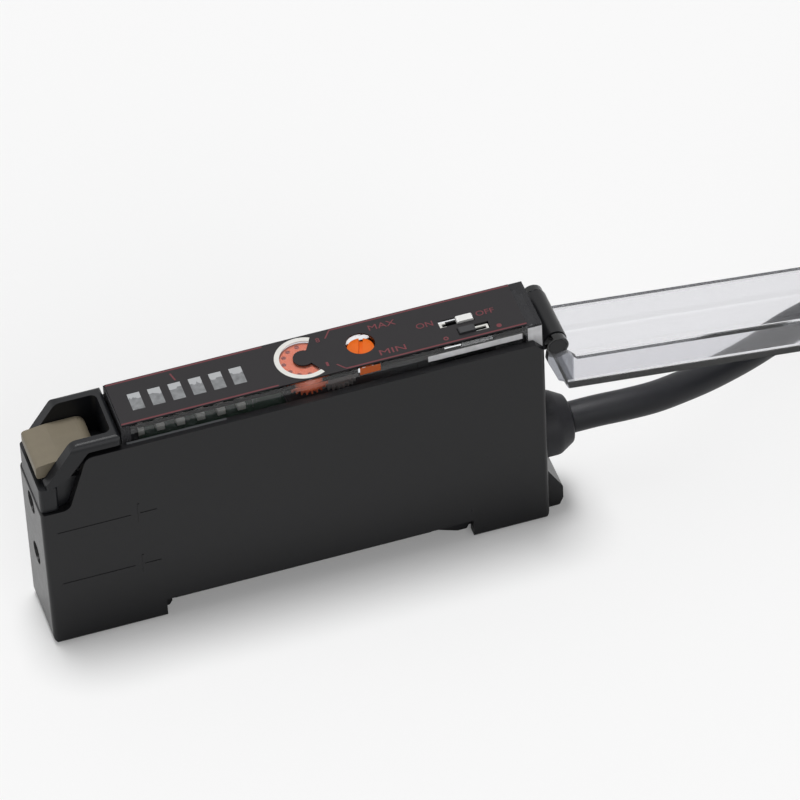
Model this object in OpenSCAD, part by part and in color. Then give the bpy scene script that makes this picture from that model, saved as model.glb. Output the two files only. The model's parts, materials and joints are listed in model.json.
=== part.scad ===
// Slim fibre optic sensor amplifier that clips on a mounting rail 35 mm wide.
// The shapes are drawn in bench coordinates: x runs from the front face to the rear,
// y from the middle plane (minus y is the side with the moulded wall) and z up from the feet.
// The finished part has its origin in the middle of the rail seat.

/* [Case] */
// Width of the case across both side walls
case_w = 10; // [9.8:0.1:11]
// Height of the side walls above the feet
wall_top = 30; // [29.8:0.1:31]
// Thickness of the side walls along the boards
side_wall = 1.4; // [1.2:0.05:1.5]
// Thickness of the side walls beside the fibre holder
front_side_wall = 1; // [0.9:0.05:1.05]
// Thickness of the front and rear walls
end_wall = 1.4; // [1.2:0.05:1.6]
// Thickness of the floor over the rail seat
floor_t = 1.2; // [1:0.1:1.5]
// Radius of the upright edges of the case
upright_edge_r = 0.6; // [0.5:0.1:1]
// Radius of the long edges under the feet
foot_edge_r = 0.5; // [0.2:0.1:0.8]
// Radius of the outer corners of the feet, seen from the side
foot_corner_r = 1.2; // [0.5:0.1:2]
// Height of the side walls where they dip at the front
dip_z = 22.2; // [21.5:0.1:23]
// Height of the chamfer at the rear end of the side walls
rear_chamfer_h = 1.4; // [1.2:0.1:1.6]
// Length of the chamfer at the rear end of the side walls
rear_chamfer_l = 1.2; // [1:0.1:1.4]

/* [Rail] */
// Width of the mounting rail
rail_w = 35; // [34.8:0.1:35.2]
// Height of the rail seat above the feet
seat_z = 2.8; // [2.6:0.1:3]
// Thickness of the rail's edge, with its clearance
rail_edge_t = 1.05; // [1:0.05:1.2]
// Length of the front foot
front_foot = 14.5; // [14:0.1:15]
// Length of the rear foot
rear_foot = 10; // [9.8:0.1:10.4]
// Space behind the rail for the latch's nose
nose_room = 4.7; // [4.5:0.1:5.1]
// Reach of the fixed hook under the rail
hook_reach = 1.1; // [0.6:0.1:1.4]
// Reach of the sliding latch under the rail
latch_reach = 0.7; // [0.4:0.1:1]
// Height of the latch's finger tab
tab_h = 6.5; // [6:0.1:6.6]
// How far the tab stands out behind the case
tab_out = 2.2; // [1.5:0.1:2.4]

/* [Fibre holder] */
// Radius of the two fibre bores
fibre_r = 1.15; // [1.1:0.01:1.18]
// Height of the upper bore's axis
upper_bore_z = 20.1; // [19.4:0.1:20.6]
// Height of the lower bore's axis
lower_bore_z = 11.4; // [11.2:0.1:12.4]
// Depth of the holder from its front face to the end of the bores
holder_len = 11.7; // [11.4:0.1:12]
// Height of the ring round the lever above the side walls
ring_rise = 1.9; // [1.7:0.1:2.2]
// Height of the ring's bars
ring_bar = 1.25; // [1.1:0.05:1.4]
// Rear end of the ring, from the front face
ring_rear = 10.8; // [10.4:0.1:10.8]
// Thickness of the ring's rear bar
ring_bar_t = 0.9; // [0.8:0.05:1]
// Width of the ring
ring_w = 9.6; // [9.4:0.1:9.8]
// Thickness of the cheeks that carry the lever's pins
cheek_t = 0.5; // [0.45:0.05:0.6]
// Thickness of the clamp plate
clamp_t = 1; // [0.8:0.05:1.1]
// Length of the clamp's holes beyond their width, for its lift
clamp_lift = 0.5; // [0.3:0.05:0.55]

/* [Lever] */
// Distance of the lever's hinge from the front face
lever_hinge_x = 7.2; // [7:0.05:7.3]
// Depth of the lever's hinge below the side walls' top
lever_drop = 2; // [1.8:0.05:2.1]
// Radius of the lever's hinge pins
lever_pin_r = 0.7; // [0.6:0.02:0.74]
// Height of the lever's top above its hinge
lever_rise = 1.2; // [1.1:0.05:1.5]
// How far the lever's top slopes down to its front edge
lever_slope = 0.35; // [0.2:0.05:0.6]
// Thickness of the lever's plate
lever_t = 2; // [1.8:0.1:2]

/* [Clear block and label] */
// Front end of the clear block, from the front face
block_x = 11; // [10.9:0.05:11.1]
// Inset of the clear block's sides from the case's sides
block_inset = 1.1; // [1.05:0.05:1.15]
// Height of the clear block's top above the side walls
block_rise = 2.45; // [2.3:0.05:2.7]
// Thickness of the clear block's top
block_top_t = 1; // [0.8:0.05:1.1]
// Thickness of the clear block's side walls
block_wall = 0.6; // [0.5:0.05:0.65]
// Depth of the clear block inside the case walls
block_seat = 1.4; // [1.2:0.1:1.5]
// Thickness of the label
label_t = 0.2; // [0.1:0.05:0.3]
// Margin of the label inside the clear block's sides
label_margin = 0.15; // [0.1:0.05:0.2]
// Width of a lamp window along the label
window_w = 1.55; // [1.2:0.05:1.7]
// Length of a lamp window across the label
window_l = 2.9; // [2.2:0.1:3.2]
// Distance of the first lamp window from the front face
window_x = 14; // [13.6:0.1:14.4]
// Distance between lamp windows
window_step = 2.55; // [2.3:0.05:2.6]
// Offset of the lamp windows from the middle plane
window_offset = 0.2; // [0:0.05:0.4]

/* [Dial and adjuster] */
// Distance of the adjuster's axis from the rear face
adjuster_back = 21.8; // [21.5:0.1:22.1]
// Distance between the dial's and the adjuster's axes
dial_step = 7.2; // [7.1:0.05:7.3]
// Radius of the dial
dial_r = 3.1; // [3:0.02:3.12]
// Inner radius of the arc window over the dial
arc_inner_r = 1.3; // [1.2:0.05:1.8]
// Outer radius of the arc window over the dial
arc_outer_r = 3.6; // [3.4:0.05:3.65]
// Radius of the adjuster's hole
adjuster_hole_r = 1.8; // [1.7:0.05:1.9]
// Depth of the adjuster's face below the label
adjuster_recess = 0.7; // [0.5:0.05:0.8]
// Thickness of the clear window over the dial
dial_window_t = 0.25; // [0.2:0.05:0.4]

/* [Switches] */
// Distance of the timer switch's slot from the rear face
timer_back = 11.9; // [11.7:0.1:12.1]
// Length of the timer switch's slot
timer_slot = 4.4; // [4.2:0.1:4.7]
// Distance of the mode switch's slot from the rear face
mode_back = 10.1; // [9.9:0.1:10.3]
// Length of the mode switch's slot
mode_slot = 4; // [3.9:0.1:4.3]
// Width of a switch slot
slot_w = 1.2; // [1:0.05:1.25]
// Distance between the two slots' middle lines
slot_step = 1.95; // [1.8:0.05:2.1]
// Offset of the timer slot's middle line from the middle plane
timer_offset = 0.2; // [0.1:0.05:0.4]
// Length of a switch knob
knob_l = 2.1; // [1.8:0.1:2.2]
// Height of a switch knob above the label
knob_h = 0.25; // [0.15:0.05:0.5]

/* [Protective cover] */
// Distance of the cover's hinge behind the rear face
hinge_back = 1.6; // [1.55:0.05:1.8]
// Depth of the cover's hinge below the side walls' top
hinge_drop = 1.1; // [1:0.05:1.2]
// Radius of the hinge bar
hinge_bar_r = 1.5; // [1.3:0.05:1.5]
// Radius of the hinge pins
hinge_pin_r = 1.1; // [0.9:0.02:1.14]
// Thickness of the cover's plate
cover_t = 1; // [0.8:0.05:1.2]
// Thickness of the cover's flanges
flange_t = 0.9; // [0.8:0.05:0.92]
// Height of the cover's outer face above its hinge, closed
cover_rise = 7.3; // [7.2:0.1:7.8]
// Height of the flanges' free edge above the hinge, closed
flange_edge = 2.6; // [2.5:0.1:3]
// Angle that the cover stands open
cover_open = 187; // [180:1:190]

/* [Cable] */
// Radius of the cable
cable_r = 2; // [1.8:0.05:2.2]
// Length of the whole cable
cable_length = 2000; // [1900:50:2150]
// Height of the cable's exit
cable_z = 11.3; // [11.25:0.05:11.6]
// Radius of the boot on the rear face
boot_r = 4.15; // [3.8:0.05:4.3]
// Length of the boot behind the rear face
boot_len = 4.2; // [3.9:0.1:4.7]
// Radius of a stripped lead
lead_r = 0.55; // [0.5:0.01:0.6]
// Length of a stripped lead
lead_length = 45; // [40:1:50]

/* [Boards] */
// Thickness of the main board
main_board_t = 1; // [0.8:0.1:1]
// Thickness of the display board
display_board_t = 0.8; // [0.6:0.05:0.9]
// Depth of the display board's top below the side walls' top
display_drop = 2.3; // [2.2:0.05:2.4]

/* [Hidden] */
$fn = 48;

// Overshoot of a cut past the face it opens
over = 1;
// Gap beside pieces that slide on each other
slide_gap = 0.1;
// Radial gap round a turning pin
pin_gap = 0.05;
// Gap above and below turning wheels
wheel_gap = 0.15;
// Gap between a cam and the piece it pushes, at rest
cam_gap = 0.25;
// Steps of a rounded corner
corner_steps = 6;

ring_top = wall_top + ring_rise;
lever_hinge_z = wall_top - lever_drop;
lever_top = lever_hinge_z + lever_rise;
block_top = wall_top + block_rise;
display_z = wall_top - display_drop;

half_w = case_w / 2;
inner_half = half_w - side_wall;
front_half = half_w - front_side_wall;
split_y = inner_half;
floor_z = seat_z + floor_t;

// Rail seat and rear foot
rail_front = front_foot - slide_gap;
rail_rear = rail_front + rail_w;
rail_mid = rail_front + rail_w / 2;
hook_tip = front_foot + hook_reach - slide_gap;
hook_top = seat_z - rail_edge_t;
foot_clear = 0.3;
rear_foot_x = rail_rear + nose_room;
case_len = rear_foot_x + rear_foot;
relief_h = 0.06;
lip_r = 0.25;

// Dip of the side walls at the front
dip_low_x = 3.6;
dip_high_x = 6.2;
dip_r = 1.2;
shoulder_r = 1.2;
top_corner_r = 0.4;

// Rail latch and its channel in the rear foot
channel_top = tab_h + 0.6;
channel_roof_t = 0.8;
latch_half = inner_half - slide_gap;
key_depth = 0.7;
key_low = 2;
key_high = 3.2;
rib_x = rear_foot_x + 5.8;
rib_t = 1;
rib_low = 3.6;
latch_floor_z = 0.9;
latch_plate_top = rib_low - 0.3;
latch_post_x = rear_foot_x + 0.2;
latch_post_t = 1;
latch_tab_x = case_len - 1.6;
nose_drop_x = rail_rear + nose_room - 1.7;
nose_end_x = rear_foot_x - 0.5;
latch_top = foot_clear + tab_h + 0.1;
latch_spring_z = (rib_low + channel_top) / 2 + 0.1;
latch_spring_r = 1.2;

// Heights of the lever, its well and the clamp
holder_x = end_wall + slide_gap;
holder_half = front_half - slide_gap;
well_half = holder_half - cheek_t;
lever_half = well_half - slide_gap;
lever_low = lever_top - lever_t;
cam_r = 0.6;
hub_r = 1;
well_floor = lever_hinge_z - 1.4;
cam_floor = lever_hinge_z - 2;
lever_rear = lever_hinge_x + hub_r;
lever_front = 0.3;
lever_crease_x = 3.4;
clamp_top = lever_hinge_z - hub_r - cam_r - cam_gap;
clamp_bottom = lower_bore_z - fibre_r - 2.05;
clamp_half = 2.9;
clamp_x = lever_hinge_x;
clamp_spring_r = 0.8;
clamp_spring_floor = clamp_bottom - 3;
spring_wire_r = 0.16;
holder_end = holder_x + holder_len;
ring_low = ring_top - ring_bar;
well_rear = ring_rear - ring_bar_t;
cheek_x = 5.2;
// Arms from the ring down to the front: the tip, the knee under and over, the foot
arm_tip_x = 1;
arm_tip_low = wall_top - 4.2;
arm_tip_high = wall_top - 3.4;
arm_knee_x = 4.8;
arm_under_x = 3.9;
arm_under_z = wall_top - 2.8;
arm_foot_x = 6.6;
ring_edge_r = 0.8;
well_corner_r = 0.8;
// Tongue of the holder over the front wall
tongue_x = 0.15;
tongue_half = half_w - 0.4;
tongue_top = wall_top - 4;
// Funnel round a fibre bore in the front wall: radii at its mouth and at its end
mouth_r = fibre_r + 0.35;
funnel_end_r = fibre_r + 0.1;

// Clear block, boards and gear train
block_half = half_w - block_inset;
block_inner_half = block_half - block_wall;
block_low = wall_top - block_seat;
block_under = block_top - block_top_t;
block_end_wall = 1;
rebate_half = block_half + slide_gap;
rib_depth = 0.2;
rib_y = block_inner_half - rib_depth;
rib_w = 0.5;
adjuster_x = case_len - adjuster_back;
dial_x = adjuster_x - dial_step;
timer_x = case_len - timer_back;
mode_x = case_len - mode_back;
rib_places = [block_x + 2, dial_x - 7.3, dial_x - 3.7, adjuster_x + 2.7, timer_x - 3.6, timer_x - 2,
    case_len - 1.6];
label_half = block_half - label_margin;
label_top = block_top + label_t;
label_x = block_x + 0.2;
label_end = case_len - 1.8;
board_low = display_z - display_board_t;
board_x = holder_end + 0.2;
board_end = case_len - end_wall - 0.5;
board_half = inner_half - 0.2;
main_y = inner_half - 0.3 - main_board_t;
main_x = holder_end + 0.2;
main_end = rear_foot_x - 1.9;
main_len = main_end - main_x;
// Components on the main board: places from its low front corner, sizes along, up and out
controller_at = [12.6, 8];
controller_size = [7, 7, 1];
front_chip_at = [6.1, 9];
front_chip_size = [4, 5, 1];
link_back = 12;
link_size = [9, 1.6, 2];
driver_back = 8.9;
driver_z = 5;
driver_size = [4.5, 4, 1.6];
ledge_t = 1;
gear_plate_t = 0.6;
gear_plate_low = display_z + 0.3;
gear_plate_top = gear_plate_low + gear_plate_t;
gear_margin = 3;
// Teeth of both pinions: an odd number, so that a gap faces the wheel they drive
pinion_teeth = 9;
wheel_teeth = 26;
dial_teeth = 28;
low_wheel_z = gear_plate_top + wheel_gap;
wheel_t = 0.6;
high_wheel_z = low_wheel_z + wheel_t + wheel_gap;
dial_low = high_wheel_z + wheel_t + wheel_gap;
dial_t = 0.6;
dial_pocket_top = block_top - dial_window_t;
dial_face = dial_pocket_top - wheel_gap;
gear_module = 2 * (adjuster_x - dial_x) / (2 * pinion_teeth + wheel_teeth + dial_teeth);
idler_x = dial_x + gear_module * (dial_teeth + pinion_teeth) / 2;
journal_r = 0.45;
stem_r = 0.55;
dial_shaft_r = 0.75;
dial_shaft_end = board_low - 1.3;
pot_l = 4.8;
pot_t = 2;
pot_near = 2.6;
pot_far = 2;
adjuster_r = adjuster_hole_r - 0.15;
adjuster_flange_r = adjuster_hole_r + 0.4;
adjuster_top = label_top - adjuster_recess;
adjuster_flange_low = dial_low;
adjuster_flange_top = block_under - 0.35;
driver_slot_w = 0.5;
driver_slot_depth = 0.5;
driver_slot_turn = 72;
lamp_l = 1;
lamp_w = 1.6;
lamp_t = 0.8;
lamp_count = 6;

// Slide switches
switch_half = 0.75;
switch_end = 0.4;
switch_top = block_under - 0.3;
knob_low = display_z + 2;
knob_top = label_top + knob_h;
knob_w = slot_w - 2 * slide_gap;
// Floor of a slot: the body's plinth, with a groove for the knob's stem
plinth_top = label_top - 0.3;
knob_stem_w = 0.4;
knob_stem_inset = 0.4;
timer_y = -timer_offset;
mode_y = timer_y - slot_step;

// Hinge of the protective cover
hinge_x = case_len + hinge_back;
hinge_z = wall_top - hinge_drop;
ear_r = hinge_back - 0.2;
ear_inner = half_w - flange_t;
hinge_bar_half = ear_inner - 0.2;
web_half = inner_half - 0.1;
cover_front = hinge_x - block_x - 0.2;
cover_inner = cover_rise - cover_t;
cover_lip = 2.3;
cover_plate_start = 2.1;

// Boot
boot_neck_r = 2.55;
boot_hole_r = boot_neck_r + pin_gap;
boot_flange_r = 3;
boot_flange_t = 0.9;
boot_tip_r = 3;
boot_x = case_len + boot_len;

// Cable: points of its route from the boot to the hank
cable_route = [
    [boot_x, 0, cable_z], [72, 0, cable_z], [76, 0.1, 11], [80, 0.9, 10.2], [84, 2.4, 9.2], [88, 4.3, 8],
    [92, 6.5, 6.8], [95.5, 8.4, 6], [99, 10.5, 5.2], [102, 12.2, 4.6], [106, 14, 3.9], [110, 15.2, 3.3],
    [116, 16.1, 2.8], [124, 16.4, 2.6], [132, 16.4, 2.6], [141, 16.4, 2.6]];
cable_entry = cable_route[len(cable_route) - 1];
route_length = path_length(cable_route);
tie_t = 0.6;
tie_w = 5;
tie_gap = 0.3;
// Hank: layers of flat turns, each half turn a run and a fold, the folds a radius wider each time
hank_layers = 6;
hank_folds = 4;
hank_fold_r = 6 * cable_r;
hank_last_r = hank_fold_r + (hank_folds - 1) * cable_r;
hank_inner_r = hank_fold_r - cable_r;
hank_outer_r = hank_last_r + cable_r;
layer_length = (cable_length - route_length) / hank_layers;
hank_run = layer_length / hank_folds - PI * (hank_fold_r + hank_last_r) / 2;
hank_x = cable_entry[0] + hank_run / 2;
hank_y = cable_entry[1] - hank_outer_r;
hank_low = tie_t;
hank_top = hank_low + 2 * cable_r * hank_layers;
// Leads on the hank: the lane of the middle one, and the spacing of the others
lead_lane_r = (hank_fold_r + hank_last_r) / 2;
lead_pitch = 2.4 * lead_r;
lead_steps = 10;
tube_sides = 8;
cable_sides = 10;

case_black = [0.16, 0.16, 0.17];
holder_black = [0.18, 0.18, 0.19];
clear_grey = [0.82, 0.85, 0.87, 0.45];
lever_beige = [0.58, 0.54, 0.45];
dial_orange = [0.93, 0.42, 0.18];
adjuster_orange = [0.95, 0.45, 0.1];
board_green = [0.1, 0.36, 0.2];
chip_black = [0.08, 0.08, 0.09];
steel_grey = [0.7, 0.71, 0.73];
white_plastic = [0.9, 0.9, 0.88];

// Unit vector along v
function unit(v) = v / norm(v);

// Points of the arc of radius r that rounds corner b between its neighbours a and c
function corner_arc(a, b, c, r) =
    r <= 0 ? [b] :
    let (
        u = unit(a - b),
        v = unit(c - b),
        half = acos(u * v) / 2,
        o = b + unit(u + v) * r / sin(half),
        p = b + u * r / tan(half) - o,
        q = b + v * r / tan(half) - o,
        start = atan2(p[1], p[0]),
        sweep = (atan2(q[1], q[0]) - start + 540) % 360 - 180
    )
    [for (i = [0 : corner_steps])
        o + r * [cos(start + sweep * i / corner_steps), sin(start + sweep * i / corner_steps)]];

// Outline through corners [x, y, radius], each rounded to its own radius
function rounded(corners) =
    let (n = len(corners), flat = [for (c = corners) [c[0], c[1]]])
    [for (i = [0 : n - 1])
        each corner_arc(flat[(i + n - 1) % n], flat[i], flat[(i + 1) % n], corners[i][2])];

// Length of a path from its point i on
function path_length(path, i = 0) =
    i < len(path) - 1 ? norm(path[i + 1] - path[i]) + path_length(path, i + 1) : 0;

// Direction of a path at its point i
function path_dir(path, i) = unit(path[min(i + 1, len(path) - 1)] - path[max(i - 1, 0)]);

// Ring of points of radius r round a path's point i; ref is a direction the path never takes
function path_ring(path, i, r, sides, ref) =
    let (
        along = path_dir(path, i),
        side = unit(cross(along, ref)),
        up = cross(side, along)
    )
    [for (k = [0 : sides - 1])
        path[i] + r * (cos((k + 0.5) * 360 / sides) * side + sin((k + 0.5) * 360 / sides) * up)];

// Round tube along a path
module tube(path, r, sides, ref = [0, 0, 1]) {
    n = len(path);
    points = [for (i = [0 : n - 1]) each path_ring(path, i, r, sides, ref)];
    walls = [for (i = [0 : n - 2], k = [0 : sides - 1])
        let (next = (k + 1) % sides)
        each [
            [i * sides + k, i * sides + next, (i + 1) * sides + next],
            [i * sides + k, (i + 1) * sides + next, (i + 1) * sides + k]]];
    near_end = [for (k = [0 : sides - 1]) sides - 1 - k];
    far_end = [for (k = [0 : sides - 1]) (n - 1) * sides + k];
    polyhedron(points, concat(walls, [near_end, far_end]));
}

// Path of a coil spring along z from z0 to z1
function spring_path(r, z0, z1, turns) =
    let (steps = turns * 12)
    [for (i = [0 : steps])
        [r * cos(360 * turns * i / steps), r * sin(360 * turns * i / steps), z0 + (z1 - z0) * i / steps]];

// Moves bench coordinates to the part's own frame
module seated() {
    translate([-rail_mid, 0, -seat_z]) children();
}

// Extrudes an outline drawn in x and z between two values of y
module along_y(y0, y1) {
    translate([0, y1, 0]) rotate([90, 0, 0]) linear_extrude(y1 - y0) children();
}

// Extrudes an outline drawn in y and z between two values of x
module along_x(x0, x1) {
    translate([x0, 0, 0]) rotate([90, 0, 90]) linear_extrude(x1 - x0) children();
}

// Box between two corners
module box(a, b) {
    translate(a) cube(b - a);
}

// Rod along y at x and z
module rod_y(x, z, r, y0, y1) {
    translate([x, y0, z]) rotate([-90, 0, 0]) cylinder(h = y1 - y0, r = r);
}

// Rod along x at height z on the middle plane
module rod_x(z, r, x0, x1) {
    translate([x0, 0, z]) rotate([0, 90, 0]) cylinder(h = x1 - x0, r = r);
}

// Upright rod on the middle plane
module rod_z(x, r, z0, z1) {
    translate([x, 0, z0]) cylinder(h = z1 - z0, r = r);
}

// Rectangle with round corners
module round_rect(a, b, r) {
    translate([a[0] + r, a[1]]) square([b[0] - a[0] - 2 * r, b[1] - a[1]]);
    translate([a[0], a[1] + r]) square([b[0] - a[0], b[1] - a[1] - 2 * r]);
    for (x = [a[0] + r, b[0] - r], y = [a[1] + r, b[1] - r])
        translate([x, y]) circle(r = r);
}

// Side view of the case with its feet, rail notch and dip at the front
module case_outline() {
    polygon(rounded([
        [0, 0, foot_corner_r],
        [front_foot, 0, lip_r],
        [front_foot, seat_z, 0],
        [rear_foot_x, seat_z, 0],
        [rear_foot_x, 0, lip_r],
        [case_len, 0, foot_corner_r],
        [case_len, wall_top - rear_chamfer_h, top_corner_r],
        [case_len - rear_chamfer_l, wall_top, top_corner_r],
        [dip_high_x, wall_top, shoulder_r],
        [dip_low_x, dip_z, dip_r],
        [0, dip_z, top_corner_r]]));
}

// Solid outer form of the closed case between two values of y
module case_form(y0, y1) {
    intersection() {
        along_y(y0, y1) case_outline();
        linear_extrude(wall_top + over) round_rect([0, -half_w], [case_len, half_w], upright_edge_r);
        along_x(-over, case_len + over)
            round_rect([-half_w, 0], [half_w, wall_top + 2 * over], foot_edge_r);
    }
}

// Space inside the case: holder bay, board space, rebate for the clear block
module case_space() {
    bay_end = block_x - slide_gap;
    box([end_wall, -front_half, floor_z], [bay_end + over, front_half, wall_top + over]);
    box([end_wall, -inner_half, floor_z], [rear_foot_x - end_wall, inner_half, wall_top + over]);
    box([end_wall, -inner_half, channel_top + channel_roof_t],
        [case_len - end_wall, inner_half, wall_top + over]);
    box([bay_end, -rebate_half, block_low], [case_len + over, rebate_half, wall_top + over]);
}

// Channel of the rail latch in the rear foot, with its two key grooves
module latch_channel() {
    box([rear_foot_x - over, -inner_half, -over], [case_len + over, inner_half, channel_top]);
    box([rear_foot_x - over, -inner_half - key_depth, key_low],
        [case_len - over, inner_half + key_depth, key_high]);
}

module case_body() {
    funnel_slope = (mouth_r - funnel_end_r) / end_wall;
    color(case_black) seated() {
        difference() {
            union() {
                case_form(-half_w, split_y);
                along_y(-web_half, web_half) polygon(rounded([
                    [front_foot - over, foot_clear, 0],
                    [hook_tip - 0.4, foot_clear, 0.2],
                    [hook_tip, foot_clear + 0.6, 0.2],
                    [hook_tip, hook_top, 0],
                    [front_foot - over, hook_top, 0]]));
            }
            case_space();
            intersection() {
                latch_channel();
                box([rear_foot_x, -half_w, -over], [case_len + over, half_w, channel_top]);
            }
            box([front_foot, -half_w - over, seat_z - over / 2],
                [hook_tip + slide_gap, half_w + over, seat_z + relief_h]);
            box([rail_rear - latch_reach - slide_gap, -half_w - over, seat_z - over],
                [rear_foot_x, half_w + over, seat_z + relief_h]);
            for (z = [lower_bore_z, upper_bore_z])
                translate([-over, 0, z]) rotate([0, 90, 0])
                    cylinder(h = end_wall + 2 * over, r1 = mouth_r + over * funnel_slope,
                        r2 = funnel_end_r - over * funnel_slope);
            rod_x(cable_z, boot_hole_r, case_len - end_wall - over, case_len + over);
        }
        box([rib_x, -web_half, rib_low], [rib_x + rib_t, web_half, channel_top + channel_roof_t / 2]);
        box([case_len - end_wall - ledge_t, -web_half, board_low - ledge_t],
            [case_len - end_wall / 2, web_half, board_low]);
        box([case_len - end_wall / 2, -web_half, hinge_z - hinge_bar_r], [hinge_x, web_half, block_low]);
        rod_y(hinge_x, hinge_z, hinge_bar_r, -hinge_bar_half, hinge_bar_half);
        rod_y(hinge_x, hinge_z, hinge_pin_r, -half_w, half_w);
    }
}

module case_cover() {
    color(case_black) seated()
        difference() {
            case_form(split_y, half_w);
            case_space();
            intersection() {
                latch_channel();
                box([rear_foot_x - over, -half_w, -over], [case_len, half_w, channel_top]);
            }
            box([front_foot, -half_w - over, seat_z - over / 2],
                [hook_tip + slide_gap, half_w + over, seat_z + relief_h]);
            box([rail_rear - latch_reach - slide_gap, -half_w - over, seat_z - over],
                [rear_foot_x, half_w + over, seat_z + relief_h]);
        }
}

// Side view of the holder's ring and of the arms that slope down to the front
module ring_outline() {
    polygon(rounded([
        [arm_tip_x, arm_tip_low, 0.3],
        [arm_under_x, arm_under_z, 0.8],
        [arm_foot_x, ring_low, 0.6],
        [ring_rear, ring_low, 0],
        [ring_rear, ring_top, 0.6],
        [arm_knee_x, ring_top, 1.4],
        [arm_tip_x, arm_tip_high, 0.3]]));
}

module fibre_holder() {
    bay_end = block_x - 2 * slide_gap;
    stop_x = block_x + block_end_wall + slide_gap;
    stop_half = block_inner_half - 2 * slide_gap;
    tongue_low = dip_z + slide_gap;
    color(holder_black) seated()
        difference() {
            union() {
                box([holder_x, -holder_half, floor_z], [bay_end, holder_half, well_floor]);
                box([holder_x, -web_half, floor_z], [holder_end, web_half, board_low]);
                box([stop_x, -stop_half, board_low - over],
                    [holder_end, stop_half, block_under - 2 * slide_gap]);
                translate([0, 0, tongue_low]) linear_extrude(tongue_top - tongue_low)
                    round_rect([tongue_x, -tongue_half], [holder_x + over, tongue_half], upright_edge_r);
                box([cheek_x, -holder_half, well_floor - over],
                    [ring_rear - slide_gap, holder_half, ring_low + ring_bar / 2]);
                intersection() {
                    along_y(-ring_w / 2, ring_w / 2) ring_outline();
                    translate([0, 0, arm_tip_low - over]) linear_extrude(ring_top - arm_tip_low + 2 * over)
                        round_rect([arm_tip_x, -ring_w / 2], [ring_rear, ring_w / 2], upright_edge_r);
                    along_x(-over, ring_rear + over)
                        round_rect([-ring_w / 2, arm_tip_low - 2 * ring_edge_r], [ring_w / 2, ring_top],
                            ring_edge_r);
                }
            }
            translate([0, 0, well_floor]) linear_extrude(ring_top - well_floor + over)
                round_rect([-2 * over, -well_half], [well_rear, well_half], well_corner_r);
            translate([0, 0, cam_floor]) linear_extrude(ring_top - cam_floor)
                round_rect([lever_hinge_x - 2 * hub_r, -well_half], [well_rear, well_half], well_corner_r);
            for (z = [lower_bore_z, upper_bore_z])
                rod_x(z, fibre_r, holder_x - over, holder_end + over);
            box([clamp_x - clamp_t / 2 - slide_gap, -clamp_half - slide_gap, clamp_bottom - slide_gap],
                [clamp_x + clamp_t / 2 + slide_gap, clamp_half + slide_gap, well_floor + over]);
            rod_z(clamp_x, clamp_spring_r + 2 * spring_wire_r, clamp_spring_floor, clamp_bottom + over);
            rod_y(lever_hinge_x, lever_hinge_z, lever_pin_r + pin_gap, -half_w, half_w);
        }
}

module lock_lever() {
    color(lever_beige) seated() {
        along_y(-lever_half, lever_half) {
            polygon(rounded([
                [lever_front, lever_low - 0.3, 0.4],
                [lever_front, lever_top - lever_slope, 0.5],
                [lever_crease_x, lever_top, 0.8],
                [lever_rear, lever_top, 1.3],
                [lever_rear, lever_low, 0.3]]));
            translate([lever_hinge_x, lever_hinge_z]) circle(r = hub_r);
            translate([lever_hinge_x, lever_hinge_z - hub_r]) circle(r = cam_r);
        }
        rod_y(lever_hinge_x, lever_hinge_z, lever_pin_r, -holder_half, holder_half);
    }
}

module clamp_plate() {
    color(steel_grey) seated()
        along_x(clamp_x - clamp_t / 2, clamp_x + clamp_t / 2)
            difference() {
                translate([-clamp_half, clamp_bottom]) square([2 * clamp_half, clamp_top - clamp_bottom]);
                for (z = [lower_bore_z, upper_bore_z]) {
                    translate([0, z]) circle(r = fibre_r);
                    translate([-fibre_r, z - clamp_lift]) square([2 * fibre_r, clamp_lift]);
                    translate([0, z - clamp_lift]) circle(r = fibre_r);
                }
            }
}

module clamp_spring() {
    color(steel_grey) seated() translate([clamp_x, 0, 0])
        tube(spring_path(clamp_spring_r, clamp_spring_floor + spring_wire_r, clamp_bottom - spring_wire_r, 4),
            spring_wire_r, tube_sides);
}

// Light source or detector with its round lens, behind a fibre bore at height z
module optic(z) {
    body_x = main_x + 0.5;
    body_half = 1.6;
    seated() {
        box([body_x, -body_half, z - body_half], [body_x + 2.4, main_y, z + body_half]);
        rod_x(z, fibre_r - 0.15, holder_end + slide_gap, body_x + 0.5);
    }
}

module emitter_led() {
    color([0.75, 0.2, 0.2]) optic(upper_bore_z);
}

module receiver_diode() {
    color(chip_black) optic(lower_bore_z);
}

module main_board() {
    color(board_green) seated()
        box([main_x, main_y, floor_z], [main_end, main_y + main_board_t, board_low]);
}

module display_board() {
    color(board_green) seated()
        difference() {
            box([board_x, -board_half, board_low], [board_end, board_half, display_z]);
            rod_z(dial_x, dial_shaft_r + 0.25, board_low - over, display_z + over);
        }
}

// Component on the near face of the main board: corner from the board's low front corner, then its size
module on_main_board(at, size) {
    x = main_x + at[0];
    z = floor_z + at[1];
    seated() box([x, main_y - size[2], z], [x + size[0], main_y, z + size[1]]);
}

module board_link() {
    color(chip_black)
        on_main_board([main_len - link_back, board_low - floor_z - link_size[1]], link_size);
}

module controller_chip() {
    color(chip_black) on_main_board(controller_at, controller_size);
}

module amplifier_chip() {
    color(chip_black) on_main_board(front_chip_at, front_chip_size);
}

module output_transistor() {
    color(chip_black) on_main_board([main_len - driver_back, driver_z], driver_size);
}

// Level lamp number i, counted from the front
module level_lamp(i) {
    x = window_x + (i - 1) * window_step;
    color(white_plastic) seated()
        box([x - lamp_l / 2, -lamp_w / 2, display_z], [x + lamp_l / 2, lamp_w / 2, display_z + lamp_t]);
}

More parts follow.
